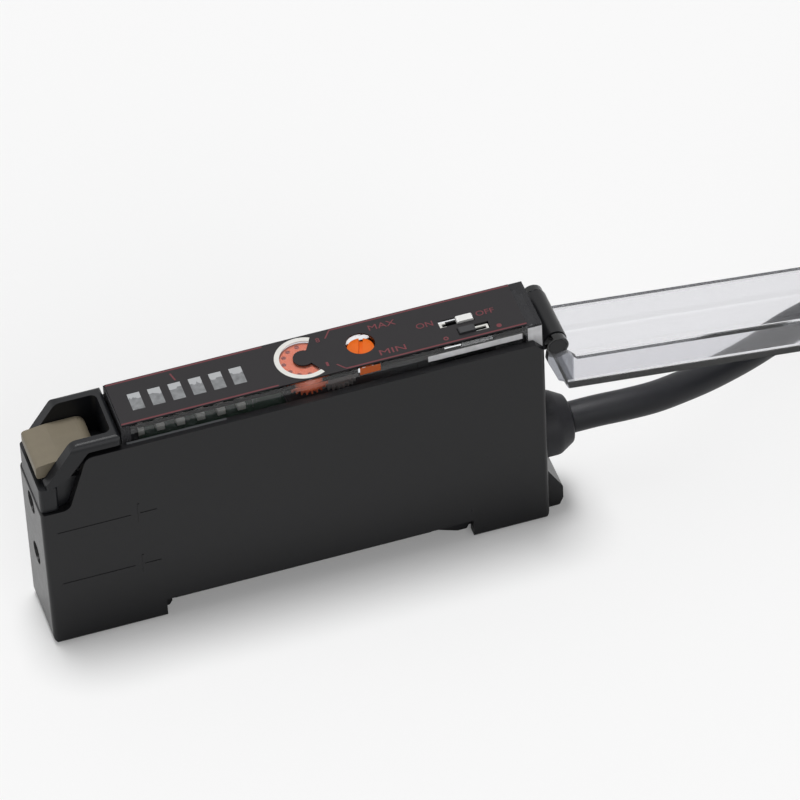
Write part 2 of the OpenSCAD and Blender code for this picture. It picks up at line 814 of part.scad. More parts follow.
// Slots of the two switches, cut upwards from z0
module switch_slots(z0) {
    h = knob_top - z0;
    for (s = [[timer_x, timer_slot, timer_y], [mode_x, mode_slot, mode_y]])
        translate([s[0], s[2] - slot_w / 2, z0]) cube([s[1], slot_w, h]);
}

module display_cover() {
    color(clear_grey) seated()
        difference() {
            union() {
                difference() {
                    box([block_x, -block_half, block_low], [case_len, block_half, block_top]);
                    box([block_x + block_end_wall, -block_inner_half, block_low - over],
                        [case_len - block_end_wall, block_inner_half, block_under]);
                }
                for (x = rib_places, side = [-1, 1])
                    translate([x - rib_w / 2, side > 0 ? rib_y : -block_half, block_low])
                        cube([rib_w, block_wall + rib_depth, block_top - block_low]);
            }
            rod_z(adjuster_x, adjuster_hole_r, block_under - over, block_top + over);
            rod_z(dial_x, dial_r + wheel_gap, block_under - over, dial_pocket_top);
            switch_slots(block_under - over);
        }
}

// Arc window over the dial: a ring open towards the adjuster
module arc_window() {
    opening = 60;
    reach = 2 * arc_outer_r;
    difference() {
        circle(r = arc_outer_r);
        circle(r = arc_inner_r);
        polygon([[0, 0], reach * [cos(opening), -sin(opening)], [reach, 0],
            reach * [cos(opening), sin(opening)]]);
    }
}

module panel_label() {
    color([0.22, 0.22, 0.23]) seated()
        difference() {
            translate([0, 0, block_top]) linear_extrude(label_t)
                difference() {
                    translate([label_x, -label_half]) square([label_end - label_x, 2 * label_half]);
                    for (i = [0 : lamp_count - 1])
                        translate([window_x + i * window_step - window_w / 2, -window_offset - window_l / 2])
                            square([window_w, window_l]);
                    translate([dial_x, 0]) arc_window();
                    translate([adjuster_x, 0]) circle(r = adjuster_hole_r);
                }
            switch_slots(block_under);
        }
}

// Flat wheel with straight-sided teeth, one of them pointing along +x
module toothed(teeth, t) {
    pitch_r = gear_module * teeth / 2;
    tip_r = pitch_r + 0.75 * gear_module;
    root_r = pitch_r - 1.2 * gear_module;
    step = 360 / teeth;
    linear_extrude(t) polygon([for (i = [0 : teeth - 1]) each [
        root_r * [cos(step * (i - 0.3)), sin(step * (i - 0.3))],
        tip_r * [cos(step * (i - 0.11)), sin(step * (i - 0.11))],
        tip_r * [cos(step * (i + 0.11)), sin(step * (i + 0.11))],
        root_r * [cos(step * (i + 0.3)), sin(step * (i + 0.3))]]]);
}

module gear_plate() {
    leg = 1;
    x0 = dial_x - gear_margin;
    x1 = adjuster_x + gear_margin;
    y = block_inner_half - 0.4;
    color(white_plastic) seated() {
        difference() {
            box([x0, -y, gear_plate_low], [x1, y, gear_plate_top]);
            rod_z(dial_x, dial_shaft_r + pin_gap, display_z, gear_plate_top + over);
            for (x = [idler_x, adjuster_x])
                rod_z(x, journal_r + pin_gap, display_z, gear_plate_top + over);
        }
        for (x = [x0, x1 - leg], side = [-y, y - leg])
            translate([x, side, display_z]) cube([leg, leg, gear_plate_low - display_z + gear_plate_t / 2]);
    }
}

module gain_adjuster() {
    color(adjuster_orange) seated()
        difference() {
            union() {
                rod_z(adjuster_x, journal_r, gear_plate_low, low_wheel_z + wheel_t / 2);
                translate([adjuster_x, 0, low_wheel_z]) toothed(pinion_teeth, wheel_t);
                rod_z(adjuster_x, stem_r, low_wheel_z + wheel_t / 2, adjuster_flange_low + wheel_gap);
                rod_z(adjuster_x, adjuster_flange_r, adjuster_flange_low, adjuster_flange_top);
                rod_z(adjuster_x, adjuster_r, adjuster_flange_low, adjuster_top);
            }
            translate([adjuster_x, 0, adjuster_top - driver_slot_depth]) rotate(driver_slot_turn)
                box([-adjuster_r, -driver_slot_w / 2, 0],
                    [adjuster_r, driver_slot_w / 2, driver_slot_depth + over]);
        }
}

module reduction_gear() {
    color(white_plastic) seated() {
        rod_z(idler_x, journal_r, gear_plate_low, block_under - wheel_gap);
        translate([idler_x, 0, low_wheel_z]) toothed(wheel_teeth, wheel_t);
        translate([idler_x, 0, low_wheel_z]) toothed(pinion_teeth, 2 * wheel_t + wheel_gap);
    }
}

module indicator_dial() {
    color(dial_orange) seated() {
        rod_z(dial_x, dial_r, dial_low, dial_face);
        translate([dial_x, 0, high_wheel_z]) toothed(dial_teeth, dial_low - high_wheel_z + dial_t / 2);
        rod_z(dial_x, dial_shaft_r, dial_shaft_end, dial_low);
    }
}

module gain_potentiometer() {
    color([0.2, 0.3, 0.55]) seated()
        difference() {
            box([dial_x - pot_l / 2, -pot_near, board_low - pot_t], [dial_x + pot_l / 2, pot_far, board_low]);
            rod_z(dial_x, dial_shaft_r + pin_gap, dial_shaft_end - 0.3, board_low + over);
        }
}

// Body of a slide switch: its plinth fills the slot and a groove in it guides the knob's stem
module switch_body(x, l, y) {
    groove = knob_stem_w / 2 + pin_gap;
    seated()
        difference() {
            union() {
                box([x - switch_end, y - switch_half, display_z],
                    [x + l + switch_end, y + switch_half, switch_top]);
                box([x + slide_gap, y - knob_w / 2, display_z],
                    [x + l - slide_gap, y + knob_w / 2, plinth_top]);
            }
            box([x + knob_stem_inset, y - groove, knob_low - slide_gap],
                [x + l - knob_stem_inset, y + groove, plinth_top + over]);
        }
}

// Knob of a slide switch: a flat grip with rounded ends over a narrow stem
module switch_knob(x, y) {
    grip_low = plinth_top + pin_gap;
    seated() {
        along_y(y - knob_w / 2, y + knob_w / 2) polygon(rounded([
            [x, grip_low, 0],
            [x, knob_top, 0.2],
            [x + knob_l, knob_top, 0.2],
            [x + knob_l, grip_low, 0]]));
        box([x + knob_stem_inset, y - knob_stem_w / 2, knob_low],
            [x + knob_l - knob_stem_inset, y + knob_stem_w / 2, knob_top - knob_h]);
    }
}

module timer_switch() {
    color(white_plastic) switch_body(timer_x, timer_slot, timer_y);
}

module timer_knob() {
    color(chip_black) switch_knob(timer_x + timer_slot - knob_l - slide_gap, timer_y);
}

module mode_switch() {
    color(white_plastic) switch_body(mode_x, mode_slot, mode_y);
}

module mode_knob() {
    color(chip_black) switch_knob(mode_x + slide_gap, mode_y);
}

// Side view of the closed cover about its hinge, without its round ears
module cover_outline() {
    root = ear_r - 0.25;
    polygon(rounded([
        [root * cos(20), root * sin(20), 0],
        [0, 0, 0],
        [-root * cos(45), root * sin(45), 0],
        [-flange_edge - 0.2, flange_edge, 0.4],
        [-cover_front, flange_edge, 0.4],
        [-cover_front, cover_rise, 0.5],
        [-cover_plate_start, cover_rise, 0.3],
        [-1.4, cover_rise - 1.3, 0.2],
        [-0.7, cover_rise - 1.6, 0.2],
        [1.1, flange_edge - 0.3, 0.4]]));
}

module protective_cover() {
    color(clear_grey) seated()
        translate([hinge_x, 0, hinge_z]) rotate([0, cover_open, 0])
            difference() {
                union() {
                    along_y(-half_w, half_w) cover_outline();
                    rod_y(0, 0, ear_r, -half_w, half_w);
                }
                box([-cover_front + cover_t, -ear_inner, -2 * ear_r], [2 * ear_r, ear_inner, cover_inner]);
                box([-cover_front - over, -ear_inner, -over], [0, ear_inner, cover_inner - cover_lip]);
                box([-cover_plate_start, -ear_inner, 0], [2 * ear_r, ear_inner, cover_rise + over]);
                rod_y(0, 0, hinge_pin_r + pin_gap, -half_w - over, half_w + over);
            }
}

module cable_boot() {
    inner_x = -end_wall - boot_flange_t;
    color([0.14, 0.14, 0.15]) seated()
        translate([case_len, 0, cable_z]) rotate([0, 90, 0])
            rotate_extrude() polygon(rounded([
                [0, inner_x, 0],
                [boot_flange_r, inner_x, 0],
                [boot_flange_r, -end_wall, 0],
                [boot_neck_r, -end_wall, 0],
                [boot_neck_r, 0, 0],
                [boot_r, 0, 0],
                [boot_r, boot_len - 2, 1.5],
                [boot_tip_r, boot_len, 0.5],
                [0, boot_len, 0]]));
}

module din_latch() {
    color(case_black) seated() {
        along_y(-latch_half, latch_half) polygon(rounded([
            [rail_rear - latch_reach, hook_top, 0],
            [nose_drop_x, foot_clear, 0.2],
            [nose_end_x, foot_clear, 0.2],
            [nose_end_x + 0.3, latch_floor_z, 0],
            [latch_tab_x - 0.5, latch_floor_z, 0],
            [latch_tab_x, foot_clear, 0],
            [case_len + tab_out - 0.5, foot_clear, 0.3],
            [case_len + tab_out, foot_clear + 1.1, 0.5],
            [case_len + tab_out, foot_clear + 3.1, 0.8],
            [case_len + 0.15, latch_top, 0.3],
            [latch_tab_x, latch_top, 0],
            [latch_tab_x, latch_plate_top, 0.3],
            [latch_post_x + latch_post_t, latch_plate_top, 0],
            [latch_post_x + latch_post_t, latch_top, 0.2],
            [latch_post_x, latch_top, 0.2],
            [latch_post_x, seat_z - slide_gap, 0],
            [rail_rear + 0.2, seat_z - slide_gap, 0],
            [rail_rear + 0.2, hook_top, 0.2]]));
        box([latch_post_x, -latch_half - key_depth, key_low + slide_gap],
            [rib_x, latch_half + key_depth, key_high - slide_gap]);
    }
}

module latch_spring() {
    x0 = latch_post_x + latch_post_t + spring_wire_r;
    color(steel_grey) seated()
        translate([0, 0, latch_spring_z]) rotate([0, 90, 0])
            tube(spring_path(latch_spring_r, x0, rib_x - spring_wire_r, 5), spring_wire_r, tube_sides);
}

module cable_run() {
    color([0.17, 0.17, 0.18]) seated() tube(cable_route, cable_r, cable_sides);
}

// Outline with two round ends
module stadium(run, r) {
    square([run, 2 * r], center = true);
    for (side = [-1, 1]) translate([side * run / 2, 0]) circle(r = r, $fn = 72);
}

// Outer form of the folded cable
module cable_coil() {
    color([0.17, 0.17, 0.18]) seated()
        translate([hank_x, hank_y, hank_low]) linear_extrude(hank_top - hank_low)
            difference() {
                stadium(hank_run, hank_outer_r);
                stadium(hank_run, hank_inner_r);
            }
}

// Tie: a flat band round the hank's near runs
module coil_tie() {
    near = -hank_outer_r - tie_gap;
    far = -hank_inner_r + tie_gap;
    color([0.1, 0.1, 0.11]) seated()
        translate([hank_x, hank_y, 0])
            along_x(-tie_w / 2, tie_w / 2)
                difference() {
                    translate([near - tie_t, 0]) square([far - near + 2 * tie_t, hank_top + tie_gap + tie_t]);
                    translate([near, tie_t]) square([far - near, hank_top + tie_gap - tie_t]);
                }
}

// Path of stripped lead i: along the far run on the hank's top, then round its fold
function lead_path(i) =
    let (
        r = lead_lane_r + (1 - i) * lead_pitch,
        z = hank_top + lead_r + slide_gap
    )
    [for (k = [0 : lead_steps])
        let (
            s = lead_length * k / lead_steps,
            turn = max(0, s - hank_run) / r * 180 / PI
        )
        [hank_x - hank_run / 2 + min(s, hank_run) + r * sin(turn), hank_y + r * cos(turn), z]];

module lead_brown() {
    color([0.35, 0.2, 0.12]) seated() tube(lead_path(0), lead_r, tube_sides);
}

module lead_black() {
    color([0.1, 0.1, 0.1]) seated() tube(lead_path(1), lead_r, tube_sides);
}

module lead_blue() {
    color([0.12, 0.25, 0.6]) seated() tube(lead_path(2), lead_r, tube_sides);
}

case_body();
case_cover();
fibre_holder();
lock_lever();
clamp_plate();
clamp_spring();
emitter_led();
receiver_diode();
main_board();
display_board();
board_link();
controller_chip();
amplifier_chip();
output_transistor();
for (i = [1 : lamp_count])
    level_lamp(i);
display_cover();
panel_label();
gear_plate();
gain_adjuster();
reduction_gear();
indicator_dial();
gain_potentiometer();
timer_switch();
timer_knob();
mode_switch();
mode_knob();
protective_cover();
cable_boot();
din_latch();
latch_spring();
cable_run();
cable_coil();
coil_tie();
lead_brown();
lead_black();
lead_blue();
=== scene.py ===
"""Looks of a slim fibre optic sensor amplifier: finishes, print, cable and stage round its CAD frame."""

import json
import math

import bmesh
import bpy
import numpy as np
from mathutils import Matrix, Vector


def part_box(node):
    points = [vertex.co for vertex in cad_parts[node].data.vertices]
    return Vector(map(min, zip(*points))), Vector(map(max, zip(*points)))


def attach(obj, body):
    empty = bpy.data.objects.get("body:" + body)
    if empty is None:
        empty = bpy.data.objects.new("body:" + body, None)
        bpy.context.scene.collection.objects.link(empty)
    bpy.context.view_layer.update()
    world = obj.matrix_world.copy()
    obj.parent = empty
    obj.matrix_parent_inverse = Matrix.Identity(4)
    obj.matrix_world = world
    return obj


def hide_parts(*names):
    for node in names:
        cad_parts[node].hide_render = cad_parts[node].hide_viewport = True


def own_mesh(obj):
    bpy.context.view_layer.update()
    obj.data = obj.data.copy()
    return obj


bl_info = {
    "name": "Fibre Amplifier Looks",
    "version": (1, 0, 0),
    "blender": (4, 2, 0),
    "location": "View3D > Sidebar > Amplifier",
    "description": "Finishes, printed label, cable and stage for a rail-mounted fibre optic amplifier",
    "category": "Object",
}

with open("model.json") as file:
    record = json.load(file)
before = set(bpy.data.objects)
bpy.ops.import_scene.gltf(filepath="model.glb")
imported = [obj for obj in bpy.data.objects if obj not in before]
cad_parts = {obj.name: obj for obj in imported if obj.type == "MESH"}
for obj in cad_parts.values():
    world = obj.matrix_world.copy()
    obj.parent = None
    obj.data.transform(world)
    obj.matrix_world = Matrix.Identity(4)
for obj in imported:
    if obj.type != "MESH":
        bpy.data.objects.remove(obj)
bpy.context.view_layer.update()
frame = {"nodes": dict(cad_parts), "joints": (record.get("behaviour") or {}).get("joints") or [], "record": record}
joints = {joint["name"]: joint for joint in frame["joints"]}
mounts = {mount["name"]: mount for mount in frame["record"]["mounts"]}

# Bench coordinates, in millimetres: x from the front face, y from the middle plane, z from the feet.
MM = 0.001
case_low, case_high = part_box("case_cover")
BENCH = np.array([case_low.x, 0.0, case_low.z])


def bench(points):
    """Bench millimetres as row-frame metres."""
    return np.asarray(points, float) * MM + BENCH


def on_bench(point):
    """A row-frame point in bench millimetres."""
    return ((np.array(point) - BENCH) / MM).tolist()


# Places of the CAD pieces that the finishes follow.
LABEL_END, LABEL_HALF, LABEL_Z = on_bench(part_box("panel_label")[1])
WALL_TOP = on_bench(case_high)[2]
NEAR_Y = on_bench(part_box("case_body")[0])[1]
COVER_HALF = on_bench(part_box("protective_cover")[1])[1]
BOOT_X = on_bench(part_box("cable_boot")[1])[0]
dial_low, dial_high = (on_bench(corner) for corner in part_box("indicator_dial"))
DIAL_X = (dial_low[0] + dial_high[0]) / 2
HINGE_X, _, HINGE_Z = on_bench(joints["cover_hinge"]["pos_m"])
COVER_OPEN = math.radians(joints["cover_hinge"]["range_deg"][1])
BORE_HEIGHTS = [on_bench(mounts[name]["pos_m"])[2] for name in ("emitter_fibre_bore", "receiver_fibre_bore")]

# Case: the painted highlight line on the wall's top, and the raised marks under each bore, as spans along x and z.
HIGHLIGHT_RIM_X = (11.5, 24.0)
HIGHLIGHT_RIM_Y = (NEAR_Y + 0.65, NEAR_Y + 1.1)
HIGHLIGHT_RIM_Z = (WALL_TOP - 0.1, WALL_TOP + 0.05)
MARK_T, MARK_DROP = 0.06, 1.45
BORE_MARKS = [((1.8, 11.0), (-0.12, 0.12)), ((11.9, 12.15), (-1.3, 1.7)), ((12.15, 14.3), (-0.12, 0.12))]

# Clear block: milky ends, painted highlights on a pale strip and a pale corner, and a painted orange reflection as
# a glint on its near face.
CLEAR_FRONT = 12.2
HIGHLIGHT_STRIP_X, HIGHLIGHT_STRIP_Z = (49.6, 61.6), (30.6, 31.5)
HIGHLIGHT_CORNER_IN, HIGHLIGHT_CORNER_DROP = 0.5, 0.6
PAINTED_GLINT_X, PAINTED_GLINT_Z = (41.0, 43.6), (31.3, 32.4)

# Protective cover: painted shade as a dark line on its rim and as dark bosses over the pins in its ears, and
# greyer ends of its ears.
COVER_EDGE, COVER_LINE, RIM_FACING = 3.6, 0.5, 0.9
EAR_R, EAR_END = 1.75, 2.0

# Inside: where the display board turns grey, and the white ends of the switch plinths; the rest of each plinth is
# painted dark as painted shade beside its knob.
BOARD_REAR = 44.0
PLINTH_LOW = LABEL_Z - 0.5
TIMER_WHITE_END, MODE_WHITE_START = 53.1, 56.2

# Label and dial: lamp windows, ring, dial marks (in degrees), red lines with their hooks, symbols and print.
WINDOW_X, WINDOW_Y, WINDOW_STEP, WINDOW_COUNT = 14.0, -0.2, 2.55, 6
WINDOW_HALF_W, WINDOW_HALF_L = 0.775, 1.45
WINDOW_PALE_Y = 0.3
FILM_T = 0.1
FILM_TOP = LABEL_Z - 0.02
RING_RADII, RING_ANGLES = (2.95, 3.58), (61, 299)
DIAL_MARKS = (93, 124, 150, 178, 212, 241, 271)
DIAL_MARK_PLACE_R, DIAL_MARK_R = 2.48, 0.3
LINE_IN, LINE_W, HOOK_HALF = 0.12, 0.2, 0.1
HOOKS = [((38.55, 2.3), (39.4, 3.5)), ((39.4, -3.5), (38.55, -2.45)), ((19.45, 1.6), (19.15, 2.9))]
LINE_BREAK = (DIAL_X - 4.2, HOOKS[0][1][0])
SYMBOLS = [((52.3, -2.75), 0.16), ((59.05, -2.75), 0.0)]
SYMBOL_R, SYMBOL_EDGE = 0.32, 0.001
PRINT_T = 0.015
PRINT = [
    ("max", "MAX", (44.0, 47.4, 1.75, 2.65)), ("min", "MIN", (44.0, 47.3, -2.85, -1.95)),
    ("eight", "8", (37.35, 37.85, 1.95, 2.7)), ("one", "1", (37.35, 37.65, -2.4, -1.7)),
    ("on", "ON", (49.5, 51.6, -0.05, 0.85)), ("off", "OFF", (57.0, 59.3, -0.35, 0.5)),
]

# Cable: the route to the hank, then the hank's runs and folds, and the leads that lie on it.
CABLE_R = 2.0
CABLE_Z = 11.3
CABLE_ROUTE = [
    (BOOT_X, 0, CABLE_Z), (72, 0, CABLE_Z), (76, 0.1, 11), (80, 0.9, 10.2), (84, 2.4, 9.2), (88, 4.3, 8),
    (92, 6.5, 6.8), (95.5, 8.4, 6), (99, 10.5, 5.2), (102, 12.2, 4.6), (106, 14, 3.9), (110, 15.2, 3.3),
    (116, 16.1, 2.8), (124, 16.4, 2.6), (132, 16.4, 2.6), (141, 16.4, 2.6),
]
hank_low, hank_high = (np.array(on_bench(corner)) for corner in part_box("cable_coil"))
HANK_MIDDLE = (hank_low + hank_high) / 2 * (1, 1, 0)
HANK_LOW, HANK_TOP = hank_low[2], hank_high[2]
HANK_LAYERS = 6
HANK_FOLDS = 4
HANK_FOLD_R = 12.0
HANK_LAST_R = HANK_FOLD_R + (HANK_FOLDS - 1) * CABLE_R
HANK_RUN = hank_high[0] - hank_low[0] - 2 * (HANK_LAST_R + CABLE_R)
LEAD_LANE_R = (HANK_FOLD_R + HANK_LAST_R) / 2
LEAD_PITCH, LEAD_BUNCH = 2.4, 0.85
LEAD_SWERVE, LEAD_CLIMB, LEAD_GAP = 15.0, 12.0, 0.1
LEADS = [("lead_brown", "5a3420"), ("lead_black", "1a1a1a"), ("lead_blue", "20408c")]

# Stage: floor and surroundings, and each sun's strength, width in degrees and direction.
FLOOR_REACH, FLOOR_GAP = 3.0, 0.0001
FLOOR_SHADE, FLOOR_GLOW, GLOW_SHARE = 0.9, 0.945, 0.15
AMBIENT = 0.2
SUNS = [
    ("key_sun", 2.25, 21, (0.0, 0.10, 0.6)),
    ("fill_sun", 0.6, 40, (0.1, -0.6, 0.35)),
    ("front_sun", 0.45, 40, (-0.6, 0.1, 0.25)),
]


def linear(code):
    """Linear RGBA of an sRGB colour written as rrggbb."""
    channel = np.array([int(code[i:i + 2], 16) for i in (0, 2, 4)]) / 255
    value = np.where(channel <= 0.04045, channel / 12.92, ((channel + 0.055) / 1.055) ** 2.4)
    return (*value.tolist(), 1.0)


def grey(level):
    """A grey of one linear level."""
    return (level, level, level, 1.0)


def colour_setting(name, description, code):
    """A colour property with that default."""
    return bpy.props.FloatVectorProperty(
        name=name, description=description, subtype="COLOR", size=4, min=0, max=1, default=linear(code))


class CameraSettings(bpy.types.PropertyGroup):
    """Where the photograph was taken from."""

    azimuth: bpy.props.FloatProperty(
        name="Azimuth", description="Angle round the upright axis", subtype="ANGLE",
        default=math.radians(-15.666))
    elevation: bpy.props.FloatProperty(
        name="Elevation", description="Angle above the floor", subtype="ANGLE",
        default=math.radians(44.226))
    roll: bpy.props.FloatProperty(
        name="Roll", description="Turn about the line of sight", subtype="ANGLE",
        default=math.radians(-3.112))
    distance: bpy.props.FloatProperty(
        name="Distance", description="Distance from the point aimed at", unit="LENGTH", default=0.8)
    lens: bpy.props.FloatProperty(
        name="Focal length", description="In millimetres, on a sensor 36 mm wide", default=294.37)
    aim: bpy.props.FloatVectorProperty(
        name="Aim", description="Point aimed at", subtype="TRANSLATION",
        default=(0.015313, 0.001163, 0.017599))


class CableSettings(bpy.types.PropertyGroup):
    """Sizes of the cable and of its stripped leads."""

    diameter: bpy.props.FloatProperty(
        name="Diameter", description="Outer diameter of the sheath", unit="LENGTH", default=2 * CABLE_R * MM)
    lead_diameter: bpy.props.FloatProperty(
        name="Lead diameter", description="Outer diameter of a stripped lead", unit="LENGTH", default=0.0011)
    lead_length: bpy.props.FloatProperty(
        name="Lead length", description="Length of a stripped lead", unit="LENGTH", default=0.045)


class ColourSettings(bpy.types.PropertyGroup):
    """Colours of the pieces."""

    case: colour_setting("Case", "Moulded case", "161618")
    holder: colour_setting("Holder", "Fibre holder", "131417")
    lever: colour_setting("Lever", "Locking lever", "766e5e")
    label: colour_setting("Label", "Printed film", "181518")
    print: colour_setting("Print", "Red print on the label", "6e343a")
    dial: colour_setting("Dial", "Indicator dial", "dc6a44")
    dial_mark: colour_setting("Dial marks", "Marks on the dial", "7a1c0c")
    adjuster: colour_setting("Adjuster", "Gain adjuster", "ea6c18")
    sheath: colour_setting("Sheath", "Cable sheath", "111216")
    window: colour_setting("Windows", "Film in the lamp windows", "96989a")
    white: colour_setting("White", "White plastic and print", "e4e3de")


class Value:
    """A socket of a node tree; an expression on it adds Math nodes."""

    def __init__(self, finish, socket):
        self.finish = finish
        self.socket = socket

    def math(self, operation, first, second):
        return self.finish.node("ShaderNodeMath", {"operation": operation}, {0: first, 1: second})

    def __add__(self, other):
        return self.math("ADD", self, other)

    __radd__ = __add__

    def __mul__(self, other):
        return self.math("MULTIPLY", self, other)

    __rmul__ = __mul__

    def __sub__(self, other):
        return self.math("SUBTRACT", self, other)

    def __rsub__(self, other):
        return self.math("SUBTRACT", other, self)

    def __truediv__(self, other):
        return self.math("DIVIDE", self, other)

    def __or__(self, other):
        return self.math("MAXIMUM", self, other)

    def __gt__(self, other):
        return self.math("GREATER_THAN", self, other)

    def __lt__(self, other):
        return self.math("LESS_THAN", self, other)

    def within(self, low, high):
        """1 between two limits, 0 outside."""
        return (self > low) * (self < high)


class Finish:
    """A material or world in the making: node() adds its nodes."""

    def __init__(self, owner):
        self.owner = owner
        owner.use_nodes = True
        self.tree = owner.node_tree
        self.tree.nodes.clear()

    def node(self, kind, settings=None, sockets=None, out=0):
        """Adds a node, sets its settings, then its sockets by name or number, and gives one output."""
        made = self.tree.nodes.new(kind)
        for key, value in (settings or {}).items():
            setattr(made, key, value)
        for key, value in (sockets or {}).items():
            if isinstance(value, Value):
                self.tree.links.new(value.socket, made.inputs[key])
            else:
                made.inputs[key].default_value = value
        return Value(self, made.outputs[out]) if len(made.outputs) else made

    def blend(self, factor, first, second):
        """Colour between two colours."""
        return self.node("ShaderNodeMix", {"data_type": "RGBA"}, {0: factor, 6: first, 7: second}, out=2)

    def place(self):
        """Object coordinates."""
        return self.node("ShaderNodeTexCoord", out=3)

    def axes(self):
        """The three bench coordinates, in millimetres."""
        outputs = self.node("ShaderNodeSeparateXYZ", None, {0: self.place()}).socket.node.outputs
        return [(Value(self, outputs[i]) - float(BENCH[i])) / MM for i in range(3)]

    def facing(self, direction):
        """How far the surface faces a direction: the cosine between its normal and that."""
        normal = self.node("ShaderNodeTexCoord", out=1)
        return self.node(
            "ShaderNodeVectorMath", {"operation": "DOT_PRODUCT"}, {0: normal, 1: direction}, out=1)

    def noise(self, scale, detail=2.0):
        """Noise between 0 and 1 over Object coordinates."""
        return self.node(
            "ShaderNodeTexNoise", None, {"Vector": self.place(), "Scale": scale, "Detail": detail})

    def principled(self, **sockets):
        """A Principled shader."""
        names = {"base": "Base Color", "rough": "Roughness", "normal": "Normal", "metal": "Metallic",
                 "clear": "Transmission Weight", "ior": "IOR", "specular": "Specular IOR Level"}
        return self.node("ShaderNodeBsdfPrincipled", None, {names[k]: v for k, v in sockets.items()})

    def mix(self, factor, first, second):
        """A shader between two shaders."""
        return self.node("ShaderNodeMixShader", None, {0: factor, 1: first, 2: second})

    def end(self, shader):
        """The shader as the material's output."""
        self.node("ShaderNodeOutputMaterial", None, {0: shader})
        return self.owner


def finish(name):
    """A new material, empty."""
    return Finish(bpy.data.materials.new(name))


def plastic(f, base, rough, grain, specular):
    """Ends a finish as moulded plastic: a faint mottle and a fine grain on its colour."""
    mottle = f.noise(900.0, 3.0)
    grit = f.noise(9000.0, 1.0)
    shade = f.blend(0.15 * mottle, base, grey(0.0))
    bump = f.node("ShaderNodeBump", None, {"Strength": grain, "Distance": 0.00003, "Height": grit})
    return f.end(f.principled(
        base=shade, rough=rough - 0.05 + mottle * 0.1, normal=bump, specular=specular))


def moulded(name, colour, rough=0.42, grain=0.25, specular=0.25):
    """Moulded plastic of one colour."""
    return plastic(finish(name), colour, rough, grain, specular)


def marked(name, colour, mark, mask, rough=0.42, grain=0.1, specular=0.25):
    """Moulded plastic with a second colour where mask(x, y, z), in bench millimetres, is 1."""
    f = finish(name)
    return plastic(f, f.blend(mask(*f.axes()), colour, mark), rough, grain, specular)


def disc(x, y, centre):
    """Squared distance from a centre."""
    across, along = x - centre[0], y - centre[1]
    return across * across + along * along


def painted_rim_highlight(x, y, z):
    """Painted highlight: a bright line on the near wall's top, along the clear block in front of the lamps."""
    return x.within(*HIGHLIGHT_RIM_X) * y.within(*HIGHLIGHT_RIM_Y) * z.within(*HIGHLIGHT_RIM_Z)


def dial_marks(x, y, z):
    """Seven round spots near the dial's rim."""
    spots = 0
    for angle in np.radians(DIAL_MARKS):
        centre = (DIAL_X + DIAL_MARK_PLACE_R * math.cos(angle), DIAL_MARK_PLACE_R * math.sin(angle))
        spots = (disc(x, y, centre) < DIAL_MARK_R ** 2) + spots
    return spots


def print_lines(x, y, z):
    """Red lines along both long edges, broken beside the dial, with their hooks and two switch symbols."""
    outer, inner = LABEL_HALF - LINE_IN, LABEL_HALF - LINE_IN - LINE_W
    drawn = (y.within(inner, outer) | y.within(-outer, -inner)) * (1 - x.within(*LINE_BREAK))
    for start, stop in HOOKS:
        slope = (stop[0] - start[0]) / (stop[1] - start[1])
        aside = x - start[0] - slope * (y - start[1])
        drawn = drawn | aside.within(-HOOK_HALF, HOOK_HALF) * y.within(start[1], stop[1])
    for centre, hole in SYMBOLS:
        drawn = drawn | disc(x, y, centre).within(hole ** 2 - SYMBOL_EDGE, SYMBOL_R ** 2)
    return drawn


def clear_plastic(f, tint):
    """Clear plastic of one tint: light passes and bends, with a faint unevenness of polish."""
    return f.principled(base=tint, rough=0.03 + f.noise(600.0) * 0.02, clear=1.0, ior=1.49)


def block_finish():
    """Clear plastic that turns milky at both ends, with painted highlights on a pale strip and corner, and a
    painted orange reflection as a glint.
    """
    f = finish("clear_block")
    x, y, z = f.axes()
    near = y < -LABEL_HALF
    # Painted highlights: a pale strip along the near face and a pale lower corner at the rear end.
    highlight_strip = near * x.within(*HIGHLIGHT_STRIP_X) * z.within(*HIGHLIGHT_STRIP_Z)
    corner = (y < HIGHLIGHT_CORNER_IN - LABEL_HALF) * (x > LABEL_END) * (z < LABEL_Z - HIGHLIGHT_CORNER_DROP)
    pale = highlight_strip | corner
    # Painted reflection: the orange shaft's glint on the near face.
    painted_glint = near * x.within(*PAINTED_GLINT_X) * z.within(*PAINTED_GLINT_Z)
    shade = f.blend(painted_glint, f.blend(pale, linear("38383a"), linear("e2e2e4")), linear("b45c34"))
    milk_and_painted_light = f.principled(base=shade, rough=1.0, specular=0.0)
    ends = (x < CLEAR_FRONT) | (x > LABEL_END)
    share = (ends | pale) * (0.6 + f.noise(900.0) * 0.4) | painted_glint
    return f.end(f.mix(share, clear_plastic(f, linear("f4f6f8")), milk_and_painted_light))


def cover_finish():
    """Clear plastic with painted shade as a dark line on the opened channel's rims and as dark bosses, and ears
    greyer near the hinge.
    """
    f = finish("clear_cover")
    x, y, z = f.axes()
    inward = (-math.sin(COVER_OPEN), 0, -math.cos(COVER_OPEN))
    across, up = x - HINGE_X, z - HINGE_Z
    height = across * inward[0] + up * inward[2]
    outside = 1 - y.within(COVER_LINE - COVER_HALF, COVER_HALF - COVER_LINE)
    # Painted shade: a dark line on the rims, and dark bosses where the black pins show through the ears.
    painted_edge_shade = (f.facing(inward) > RIM_FACING) * (height > -COVER_EDGE) * outside
    painted_boss_shade = disc(x, z, (HINGE_X, HINGE_Z)) < EAR_R ** 2
    ear_grey = f.blend(across < EAR_END, linear("e8e8eb"), linear("94969c"))
    return f.end(clear_plastic(f, f.blend(painted_edge_shade | painted_boss_shade, ear_grey, linear("2c2d30"))))


